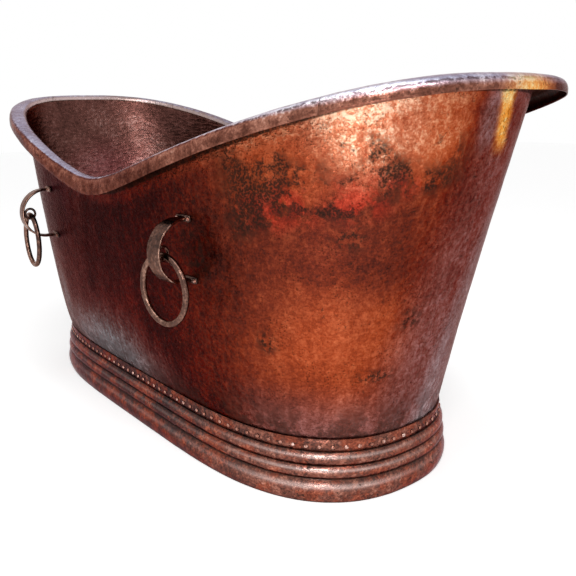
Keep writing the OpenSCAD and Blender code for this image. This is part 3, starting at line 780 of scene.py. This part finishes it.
rivet_metal = beaten_metal(
    "rivet_copper", plinth_tones, dark_patina_and_shade, 0.1, lumps=0.03, dimple=0.004,
    relief=0.0003, shine=0.1, coat=0.4, stain_and_light=rivet_wear_and_highlight)


def circle_turns(count, offset=0.0):
    """Cosines and sines at equal steps round a circle."""
    return [(cos(a), sin(a)) for a in 2 * pi * (np.arange(count) + offset) / count]


def set_out(shape, base, *directions):
    """A shape's points, set out from a base along three directions."""
    return (base + np.reshape(shape, (-1, 3)) @ np.array(directions)).tolist()


def dome(radius, height, lean, seed):
    """Points of one hammered rivet head standing up from z = 0, with its skirt first."""
    points = []
    for angle in np.linspace(0, pi / 2, head_rows):
        z = height * sin(angle) ** 0.9
        for c, s in circle_turns(head_points):
            wobble = 1 + 0.06 * noise.noise((c, s, seed * 5.1))
            reach = max(radius * 0.02, radius * cos(angle) ** 0.8) * wobble
            points.append((reach * c + lean[0] * z, reach * s + lean[1] * z, z))
    return np.reshape(points, (head_rows, head_points, 3))


def set_rivets(name, replaced, places, height, seed):
    """One mesh of many rivet heads. Each place is a point and the directions across its head, up and out."""
    chance = np.random.default_rng(seed)
    vertices, faces, worn = [], [], []
    for number, (point, across, up, out) in enumerate(places):
        rows = dome(rivet_radius * chance.uniform(0.94, 1.06), height * chance.uniform(0.85, 1.0),
                    chance.uniform(-0.12, 0.12, 2), seed + number)
        faces += tube_faces(*rows.shape[:2], start=len(vertices))
        vertices += set_out(rows, point, across, up, out)
        # The worn value rises to the top of each head, where a painted highlight is laid.
        worn += (rows[:, :, 2] / height).clip(0, 1).ravel().tolist()
    made = mesh_piece(name, vertices, faces)
    tag(made, worn=worn, grime=1 - np.array(worn))
    made.data.materials.append(rivet_metal)
    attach(made, "tub")
    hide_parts(replaced)


places = []
for turn in even_turns(240)[1::2]:
    out = plan_out(plinth_top, turn)
    places.append((base_ring(turn, band_standoff, rivet_z), np.cross(up_axis, out), up_axis, out))
set_rivets("band_rivet_heads", "band_rivets", places, rivet_rise, 31)

# ---- Handles ----
# Four straps of forged dark bronze. Each is a flat bar bent to a half round, drawn narrower towards its two
# feet, which are flattened, brazed and riveted to the wall. Rubbed edges show the copper colour, lightened
# partly as a painted highlight.
handle_x, handle_z = 0.346, 0.5
bend_radius = 0.063
bend_reach = 0.02
strap_thick = 0.006
strap_narrow, strap_wide, strap_full_reach = 0.02, 0.038, 0.052
strap_points = 36
foot_thick = 0.0036
foot_half_width, foot_half_height = 0.022, 0.0075
foot_points = 32
braze_lumps = 7
eyelet_reach = 0.0615
foot_heights = (handle_z + bend_radius, handle_z - bend_radius)
bronze_tones = [(0.01, 0.005, 0.004), (0.04, 0.018, 0.013), (0.11, 0.05, 0.035), (0.29, 0.155, 0.11),
    (0.75, 0.52, 0.42)]


def bronze_wear_and_highlight(place, tone):
    """Edges rubbed to shining metal, on the straps partly as a painted highlight."""
    tone = plus(times(minus(tone, 0.5), 0.9), times(mark(place, "worn"), 0.42), 0.4)
    return tone, mark(place, "grime"), None


bronze = beaten_metal(
    "forged_bronze", bronze_tones, (0.012, 0.008, 0.007), 0.14, lumps=0.035, dimple=0.01,
    relief=0.0006, shine=0.14, coat=0.3, edge=(0.62, 0.45, 0.4), stain_and_light=bronze_wear_and_highlight)


def handle_axes(number, corner):
    """A handle's number and corner, its ring's pivot, a base, and the ways along the wall and out."""
    joint = next(j for j in frame["joints"] if j["child"] == "ring_" + corner)
    pivot, along = np.array(joint["pos_m"], float), np.array(joint["axis"], float)
    out = np.array([-along[1], along[0], 0.0])
    return number, corner, pivot, pivot * [1, 1, 0] - out * eyelet_reach, along, out


def wall_reach(x, z):
    """How far the wall's outside stands from the middle plane."""
    half_length, half_width, p, q = plan_shape(z)
    return half_width * (1 - (abs(x) / half_length) ** p) ** (1 / q)


def foot_reach(z):
    """How far the wall stands out at height z in a handle's own axes."""
    slope = atan((wall_reach(handle_x - 0.005, z) - wall_reach(handle_x + 0.005, z)) / 0.01)
    return (wall_reach(handle_x, z) - wall_reach(handle_x, handle_z)) * cos(slope)


def wall_lean(z):
    """How much the wall leans out for each step up."""
    return (foot_reach(z + 0.005) - foot_reach(z - 0.005)) / 0.01


def strap_half(reach):
    """Half the strap's width at a reach from the wall."""
    return (strap_narrow + (strap_wide - strap_narrow) * np.clip(reach / strap_full_reach, 0, 1)) / 2


def squared(value, power):
    """A sine or cosine drawn towards its ends, which squares a round section."""
    return copysign(abs(value) ** power, value)


def strap_sections():
    """Sections of the strap in its handle's axes: along the wall, out and up."""
    high, low = foot_heights
    path = [(reach, high, 0.0, 1.0) for reach in np.linspace(foot_reach(high) + 0.001, bend_reach, 12)[:-1]]
    for angle in np.radians(np.linspace(90, -90, 61)):
        c, s = cos(angle), sin(angle)
        path.append((bend_reach + bend_radius * c, handle_z + bend_radius * s, c, s))
    path += [(reach, low, 0.0, -1.0) for reach in np.linspace(bend_reach, foot_reach(low) + 0.001, 12)[1:]]
    sections = []
    for reach, z, out, up in path:
        ring = []
        for c, s in circle_turns(strap_points, 0.5):
            thick = strap_thick / 2 * squared(s, 0.42)
            ring.append((strap_half(reach) * squared(c, 0.28), reach + out * thick, z + up * thick))
        sections.append(ring)
    return sections


def foot_plate(z, seed):
    """A hammered foot plate that lies on the leaning wall, with brazing heaped where the strap meets it."""
    chance = np.random.default_rng(seed)
    rings = []
    for depth, grow in ((0.0002, 0.0), (foot_thick - 0.001, 0.0), (foot_thick, -0.001)):
        ring = []
        for c, s in circle_turns(foot_points, 0.5):
            wobble = 1 + 0.03 * noise.noise((c * 2, s * 2, seed))
            across = (foot_half_width + grow) * squared(c, 0.32) * wobble
            above = (foot_half_height + grow) * squared(s, 0.5) * wobble
            ring.append((across, foot_reach(z) + depth + wall_lean(z) * above, z + above))
        rings.append(ring)
    shapes = [rings]
    for row, column in np.ndindex(2, braze_lumps):
        across = -0.011 + 0.022 * column / (braze_lumps - 1) + chance.uniform(-0.001, 0.001)
        radius = chance.uniform(0.0017, 0.0026)
        above = z + (1 - 2 * row) * (strap_thick / 2 + 0.0002)
        centre = np.array([across, foot_reach(z) + foot_thick + 0.0004, above])
        lump = []
        for level in np.linspace(-pi / 2 + 0.05, pi / 2 - 0.05, 7):
            wide, high = radius * cos(level), radius * sin(level)
            lump.append([centre + [wide * c, wide * s, high] for c, s in circle_turns(12)])
        shapes.append(lump)
    return shapes


def fuse(name, shapes, base, along, out, voxel):
    """Joins closed shapes, given in a handle's own axes, into one smooth forged piece."""
    vertices, faces = [], []
    for shape in shapes:
        faces += tube_faces(len(shape), len(shape[0]), start=len(vertices))
        vertices += set_out(shape, base, along, out, up_axis)
    made = mesh_piece(name, vertices, faces)
    remesh = made.modifiers.new("fuse", "REMESH")
    remesh.mode = "VOXEL"
    remesh.voxel_size = voxel
    soften = made.modifiers.new("soften", "SMOOTH")
    soften.factor = 0.5
    soften.iterations = 3
    evaluated = made.evaluated_get(bpy.context.evaluated_depsgraph_get())
    fused = bpy.data.meshes.new_from_object(evaluated)
    made.modifiers.clear()
    made.data = fused
    fused.polygons.foreach_set("use_smooth", [True] * len(fused.polygons))
    return made


def local_places(piece, base, along, out):
    """How far the vertices lie along the wall, out from it and up, from a base."""
    return ((points_of(piece) - base) @ np.stack([along, out, up_axis], 1)).T


corners = ("front_left", "front_right", "rear_left", "rear_right")
handles = [handle_axes(*numbered) for numbered in enumerate(corners)]
for number, corner, pivot, base, along, out in handles:
    shapes = [strap_sections()]
    for z in foot_heights:
        shapes += foot_plate(z, 40 + number * 2 + int(z > handle_z))
    strap = fuse("strap_" + corner, shapes, base, along, out, 0.0012)
    across, reach, up = local_places(strap, base, along, out)
    # The edge mark paints the strap's edges as rubbed metal, and partly as a painted highlight.
    edge = np.clip(1 - np.abs(np.abs(across) - strap_half(reach)) / 0.0016, 0, 1) * (reach > 0.012)
    tag(strap, worn=edge * 0.9, grime=np.clip(1 - (reach - 0.002) / 0.01, 0, 1) * 0.5)
    beat(strap, depth=0.0004, size=0.014, seed=50 + number)
    strap.data.materials.append(bronze)
    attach(strap, "tub")
    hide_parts("handle_strap_" + corner)

# ---- Rivets of the handles ----
# Two domed copper rivets through each foot of a strap, one at either side of the bar, fix the handle to
# the wall. Their heads lie square on the leaning plate.
rivet_side = 0.0167
handle_rivet_rise = 0.0031
for number, corner, pivot, base, along, out in handles:
    places = []
    for z in foot_heights:
        lean = atan(wall_lean(z))
        face_out = out * cos(lean) - up_axis * sin(lean)
        face_up = up_axis * cos(lean) + out * sin(lean)
        middle = base + out * foot_reach(z) + up_axis * z + face_out * (foot_thick + 0.0001)
        places += [(middle + along * side, along, face_up, face_out) for side in (-rivet_side, rivet_side)]
    set_rivets("handle_rivet_heads_" + corner, "handle_rivets_" + corner, places, handle_rivet_rise,
               60 + number)

# ---- Eyelets ----
# A loop of round bronze wire stands on the inside of each strap, joined to it by a lump of braze. The pull
# ring hangs in it.
eyelet_radius = 0.01325
eyelet_wire = 0.00325
braze_reach, braze_out, braze_rise = 0.005, 0.0173, 0.0016


def bar_loop(name, centre, first, second, radius, bar, seed, steps, around, depth, size):
    """A round bar bent to a closed loop about a centre, in the plane of two directions."""
    normal = np.cross(first, second)
    rings = []
    for c, s in circle_turns(steps):
        outward = first * c + second * s
        wander = 1 + 0.008 * noise.noise((c * 1.3, s * 1.3, seed))
        rings.append([centre + outward * (radius * wander + bar * a) + normal * bar * b
                      for a, b in circle_turns(around)])
    piece = skin(name, rings)
    beat(piece, depth, size, seed)
    return piece


for number, corner, pivot, base, along, out in handles:
    centre = base + out * eyelet_reach + up_axis * handle_z
    loop = bar_loop("eyelet_loop_" + corner, centre, out, up_axis, eyelet_radius, eyelet_wire,
                    seed=70 + number, steps=64, around=20, depth=0.0002, size=0.006)
    across, reach, up = local_places(loop, centre, along, out)
    inside = np.clip((eyelet_radius + 0.002 - np.hypot(reach, up)) / 0.004, 0, 1)
    tag(loop, worn=inside * 0.3, grime=np.clip((reach - 0.011) / 0.004, 0, 1))
    rings = []
    for row in np.linspace(-pi / 2 + 0.02, pi / 2 - 0.02, 11):
        reach = braze_reach * cos(row) ** 0.7
        middle = centre + out * (braze_out + braze_rise * sin(row))
        rings.append([middle + along * reach * c + up_axis * reach * 1.25 * s for c, s in circle_turns(24)])
    braze = skin("eyelet_braze_" + corner, rings, False, worn=0.35, grime=0.2)
    beat(braze, depth=0.0004, size=0.004, seed=80 + number)
    for piece in (loop, braze):
        piece.data.materials.append(bronze)
        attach(piece, "tub")
    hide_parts("eyelet_" + corner)

# ---- Pull rings ----
# A ring of forged round bronze bar hangs through each eyelet and swings on it. It is welded shut, and its
# inside is rubbed where it is held.
ring_bar = 0.0065
ring_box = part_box("pull_ring_front_right")
ring_radius = (ring_box[1].z - ring_box[0].z) / 2 - ring_bar
for number, corner, pivot, base, along, out in handles:
    centre = pivot - up_axis * ring_radius
    ring = bar_loop("ring_bar_" + corner, centre, along, up_axis, ring_radius, ring_bar,
                    seed=90 + number, steps=220, around=32, depth=0.0003, size=0.013)
    across, reach, up = local_places(ring, centre, along, out)
    inside = np.clip((ring_radius - np.hypot(across, up)) / ring_bar, 0, 1)
    tag(ring, worn=inside * 0.5 + 0.15, grime=0.0 * inside)
    ring.data.materials.append(bronze)
    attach(ring, "ring_" + corner)
    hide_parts("pull_ring_" + corner)

# ---- Drain and stopper ----
# An aged brass drain in the floor of the bowl, clamped by a washer and a nut below, with its tailpiece and
# a lift-up stopper. The turned edges are eased.
brass_tones = [(0.07, 0.042, 0.02), (0.2, 0.125, 0.055), (0.42, 0.29, 0.14)]
brass = beaten_metal(
    "aged_brass", brass_tones, (0.05, 0.035, 0.02), 0.14, lumps=0.03, dimple=0.02,
    relief=0.0001, shine=0.2, coat=0.1)


def finish_parts(names, finish, ease=0.0):
    """Gives solid parts their finish and eases their sharp edges."""
    for name in names:
        part = frame["nodes"][name]
        part.data.materials.clear()
        part.data.materials.append(finish)
        if ease:
            bevel = part.modifiers.new("eased edges", "BEVEL")
            bevel.width = ease
            bevel.segments = 2
            bevel.limit_method = "ANGLE"


finish_parts(("drain_flange", "drain_washer", "drain_locknut", "tailpiece", "stopper_cap", "stopper_post"),
             brass, 0.0004)

# ---- Seals ----
# Black rubber, cut from sheet: a gasket clamped between the bowl's floor and the washer, and a disc held
# under the stopper's cap.
rubber, shader, place = new_finish("black_rubber")
rubber_tones = [(0.012, 0.012, 0.012), (0.035, 0.034, 0.033)]
peel = node(place, "Bump", {"Height": cloud(place, 0.0008), "Distance": 0.0001})
feed(shader, {"Base Color": shades(cloud(place, 0.008), rubber_tones), "Normal": peel.outputs[0],
              "Roughness": 0.62})
finish_parts(("drain_gasket", "stopper_seal"), rubber)

# ---- Bearers ----
# Four planed softwood bearers stand on the ground under the bowl's floor and take the bather's weight.
# Their edges are eased, and the grain runs along them.
timber, shader, place = new_finish("softwood")
growth = cloud(stretched(place, 1.0, 0.06, 1.0), 0.006, 5.0, 0.6, 0.6)
timber_tones = [(0.3, 0.17, 0.08), (0.46, 0.3, 0.16), (0.58, 0.42, 0.25)]
ridges = node(place, "Bump", {"Height": growth, "Distance": 0.0003})
feed(shader, {"Base Color": shades(growth, timber_tones), "Normal": ridges.outputs[0], "Roughness": 0.7})
finish_parts(("bearer_1", "bearer_2", "bearer_3", "bearer_4"), timber, 0.002)

# ---- Floor, light and camera ----
# A plain pale floor that takes the bath's shadow. Soft lamps stand above and at the right front, with two
# small ones for the inside and the right end. The camera stands off the right front, level with the rim.
floor_size = 12.0
floor_glow = 0.5
world_light = 0.5


def seen_directly(beside):
    """1 where the camera, a glossy surface or a clear one sees the floor or the world."""
    path = node(beside, "LightPath", {}).outputs
    return most(path["Is Camera Ray"], path["Is Glossy Ray"], path["Is Transmission Ray"])


floor_corners = [(x * floor_size, y * floor_size, 0.0) for x, y in ((-1, -1), (1, -1), (1, 1), (-1, 1))]
floor = mesh_piece("floor", floor_corners, [(0, 1, 2, 3)])
floor_paint, shader, place = new_finish("pale_floor")
feed(shader, {
    "Base Color": (0.9, 0.9, 0.9, 1.0), "Roughness": 0.9, "Specular IOR Level": 0.1,
    "Emission Color": (1.0, 1.0, 1.0, 1.0),
    "Emission Strength": times(seen_directly(place), floor_glow)})
floor.data.materials.append(floor_paint)

world = bpy.data.worlds.new("studio")
bpy.context.scene.world = world
world.use_nodes = True
world.node_tree.nodes.clear()
strength = node(world.node_tree, "MapRange", {
    "Value": seen_directly(world.node_tree), "To Min": world_light, "To Max": 1.0}).outputs[0]
background = node(strength, "Background", {"Strength": strength, "Color": (1.0, 1.0, 1.0, 1.0)})
node(strength, "OutputWorld", {"Surface": background.outputs[0]})

for name, place, aim, size, watts in (
        ("key", (1.85, -1.5, 1.95), (0.55, -0.2, 0.2), 0.6, 16.0),
        ("top", (0.5, -0.5, 2.6), (-0.2, 0.0, 0.5), 1.3, 20.0),
        ("far", (1.5, -0.32, 1.75), (-0.7, 0.12, 0.6), 0.35, 4.5),
        ("low", (1.62, -1.2, 0.34), (0.69, -0.22, 0.7), 0.3, 2.4)):
    lamp = bpy.data.lights.new(name, "AREA")
    lamp.size = size
    lamp.energy = watts
    made = set_in_scene(name, lamp)
    made.location = place
    made.visible_camera = False
    made.rotation_euler = (Vector(aim) - Vector(place)).to_track_quat("-Z", "Y").to_euler()

camera_place = Vector((1.5056, -1.0529, 0.7716))
yaw, pitch, roll = (radians(a) for a in (143.593, -14.423, -0.946))
ahead = Vector((cos(pitch) * cos(yaw), cos(pitch) * sin(yaw), sin(pitch)))
level_right = Vector((sin(yaw), -cos(yaw), 0.0))
level_up = level_right.cross(ahead)
right = level_right * cos(roll) + level_up * sin(roll)
upward = level_up * cos(roll) - level_right * sin(roll)
lens = bpy.data.cameras.new("camera")
lens.sensor_width = 36.0
lens.lens = 43.65
lens.shift_x = 0.0809
lens.shift_y = -0.0024
camera = set_in_scene("camera", lens)
turned = Matrix((right, upward, -ahead)).transposed()
camera.matrix_world = Matrix.Translation(camera_place) @ turned.to_4x4()
bpy.context.scene.camera = camera
bpy.context.scene.view_settings.view_transform = "Standard"

bpy.context.view_layer.update()
